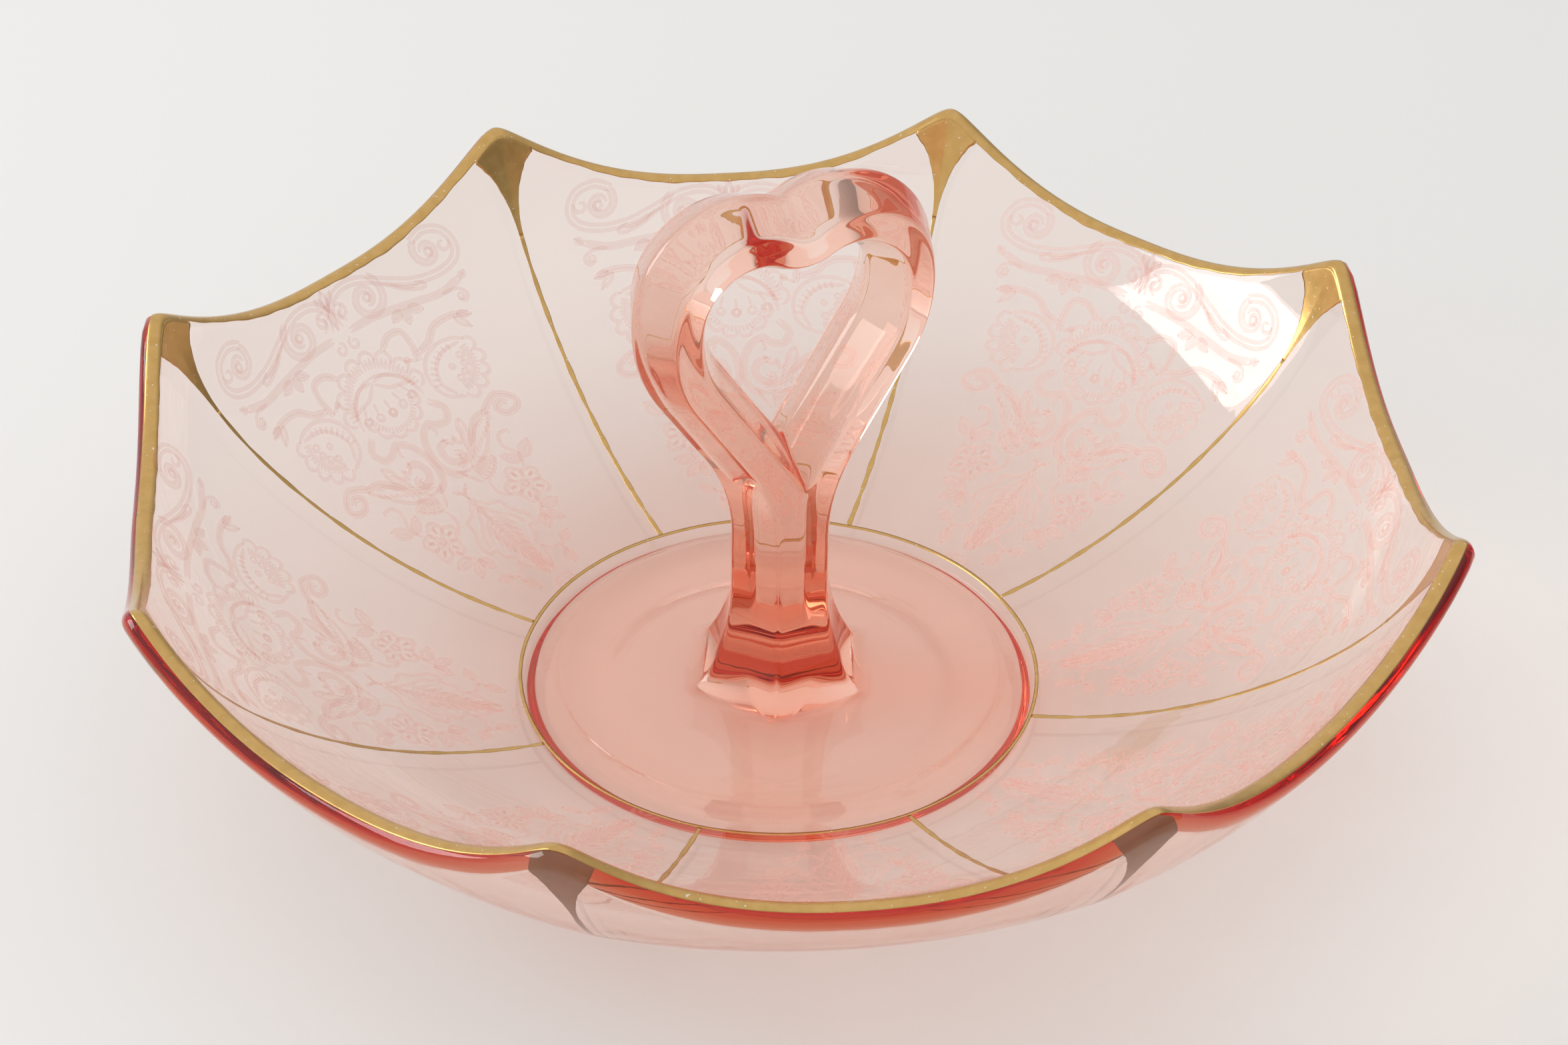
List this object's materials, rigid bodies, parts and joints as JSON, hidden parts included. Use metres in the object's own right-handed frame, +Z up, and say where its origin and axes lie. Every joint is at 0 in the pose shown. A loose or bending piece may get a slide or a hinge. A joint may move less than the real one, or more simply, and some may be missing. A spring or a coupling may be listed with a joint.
{
  "type": "glass candy dish",
  "caption": "Shallow scalloped glass candy dish with a heart-shaped centre handle, gilded rim, ribs and ring line, on a round foot.",
  "frame": {"origin": "centre of the foot's resting plane", "axes": "+Z up; +X towards a rim tip, along the width of the heart handle; +Y through the handle's finger opening"},
  "size_m": [0.254, 0.254, 0.1135],
  "materials": {
    "glass": "clear pink pressed glass, fire-polished, with acid-etched flowers and scrolls on the panels",
    "gold": "fired gold, satin, lightly worn"
  },
  "bodies": {
    "root": {"foot": "glass", "bowl": "glass", "centre_disc": "glass", "handle_stem": "glass", "heart_loop": "glass", "rim_gilding": "gold", "centre_ring_line": "gold", "corner_gilding_1": "gold", "corner_gilding_2": "gold", "corner_gilding_3": "gold", "corner_gilding_4": "gold", "corner_gilding_5": "gold", "corner_gilding_6": "gold", "corner_gilding_7": "gold", "corner_gilding_8": "gold", "rib_line_1": "gold", "rib_line_2": "gold", "rib_line_3": "gold", "rib_line_4": "gold", "rib_line_5": "gold", "rib_line_6": "gold", "rib_line_7": "gold", "rib_line_8": "gold"}
  },
  "joints": []
}
